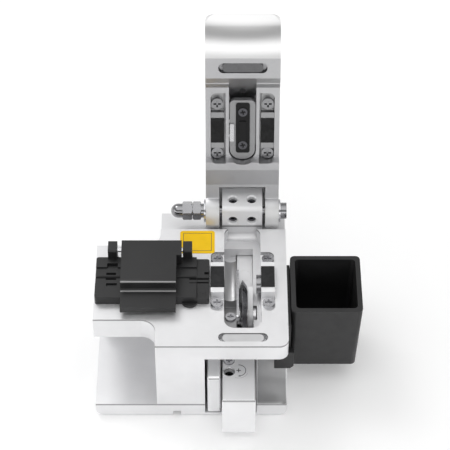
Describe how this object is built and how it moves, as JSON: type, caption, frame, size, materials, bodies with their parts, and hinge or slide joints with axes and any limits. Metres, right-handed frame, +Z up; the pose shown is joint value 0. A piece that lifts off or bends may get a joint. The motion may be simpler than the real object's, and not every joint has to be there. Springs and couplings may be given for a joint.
{
  "type": "optical fibre cleaver",
  "caption": "Bench optical fibre cleaver with a leaning anvil lid, sliding round blade, flap fibre holder and side scrap bin.",
  "frame": {"origin": "centre of the body in plan, on the surface that the cleaver stands on", "axes": "+X to the right towards the scrap bin, +Y to the back towards the lid hinge, +Z up"},
  "size_m": [0.0873, 0.0922, 0.1043],
  "materials": {
    "frame_aluminium": "satin machined",
    "lid_aluminium": "satin machined",
    "dark_steel": "blackened",
    "bright_steel": "ground",
    "screw_steel": "plain",
    "magnet_nickel": "nickel plated",
    "clamp_steel": "satin",
    "pad_rubber": "matt",
    "sole_rubber": "matt",
    "holder_black": "fine matt",
    "bin_black": "fine grain",
    "sticker_yellow": "plain yellow",
    "blade_dark": "ground edge",
    "slide_aluminium": "satin",
    "bush_brass": "plain",
    "anvil_black": "hard black"
  },
  "bodies": {
    "base": {"base_frame": "frame_aluminium", "base_pad": "sole_rubber", "bin_bracket": "bin_black", "blade_guard": "clamp_steel", "blade_guard_screw": "screw_steel", "clamp_pad_lower_left": "pad_rubber", "clamp_pad_lower_right": "pad_rubber", "clamp_screws_lower": "screw_steel", "clamp_seat_lower_left": "clamp_steel", "clamp_seat_lower_right": "clamp_steel", "deck_magnet": "magnet_nickel", "eccentric_disc": "bright_steel", "flap_pin": "bright_steel", "guard_strip": "bright_steel", "guide_rail": "bright_steel", "guide_rail_screws": "screw_steel", "hinge_acorn_nut": "magnet_nickel", "hinge_bolt": "screw_steel", "hinge_collar": "screw_steel", "hinge_lock_nut": "screw_steel", "hinge_washer_left": "screw_steel", "hinge_washer_right": "screw_steel", "holder_base": "holder_black", "knuckle_set_screws": "dark_steel", "label_plate": "sticker_yellow", "locating_disc": "holder_black"},
    "carriage": {"bearing_block": "bright_steel", "slide_handle": "slide_aluminium", "slide_top_screw": "screw_steel", "height_set_screw": "dark_steel", "blade_carrier": "slide_aluminium", "blade_carrier_screws": "screw_steel", "blade_axle": "bright_steel"},
    "blade_wheel": {"blade": "blade_dark"},
    "lid": {"lid_arm": "lid_aluminium", "lid_magnet": "magnet_nickel", "hinge_bush_left": "bush_brass", "hinge_bush_right": "bush_brass", "clamp_seat_upper_left": "clamp_steel", "clamp_seat_upper_right": "clamp_steel", "clamp_pad_upper_left": "pad_rubber", "clamp_pad_upper_right": "pad_rubber", "clamp_screws_upper": "screw_steel", "anvil_guide_pins": "bright_steel"},
    "anvil_set": {"anvil_carrier": "clamp_steel", "anvil": "anvil_black", "anvil_screws": "dark_steel", "anvil_side_bar": "bright_steel"},
    "flap": {"holder_flap": "holder_black"},
    "bin": {"scrap_bin": "bin_black"}
  },
  "joints": [
    {"name": "lid_hinge", "type": "hinge", "parent": "base", "child": "lid", "pos_m": [0.01693, 0.0258, 0.0383], "axis": [1, 0, 0], "range_deg": [0, 107.5]},
    {"name": "carriage_slide", "type": "slide", "parent": "base", "child": "carriage", "axis": [0, 1, 0], "range_m": [0, 0.009]},
    {"name": "blade_index", "type": "hinge", "parent": "carriage", "child": "blade_wheel", "pos_m": [0.0172, -0.0111, 0.0265], "axis": [1, 0, 0], "continuous": true},
    {"name": "anvil_press", "type": "slide", "parent": "lid", "child": "anvil_set", "axis": [0, 0.9537, -0.3007], "range_m": [0, 0.0015], "stiffness_N_per_m": 200, "springref_m": -0.0005},
    {"name": "flap_hinge", "type": "hinge", "parent": "base", "child": "flap", "pos_m": [-0.01345, 0.0051, 0.0413], "axis": [-1, 0, 0], "range_deg": [0, 100]},
    {"name": "bin_lift", "type": "slide", "parent": "base", "child": "bin", "axis": [0, 0, 1], "range_m": [0, 0.03]}
  ]
}
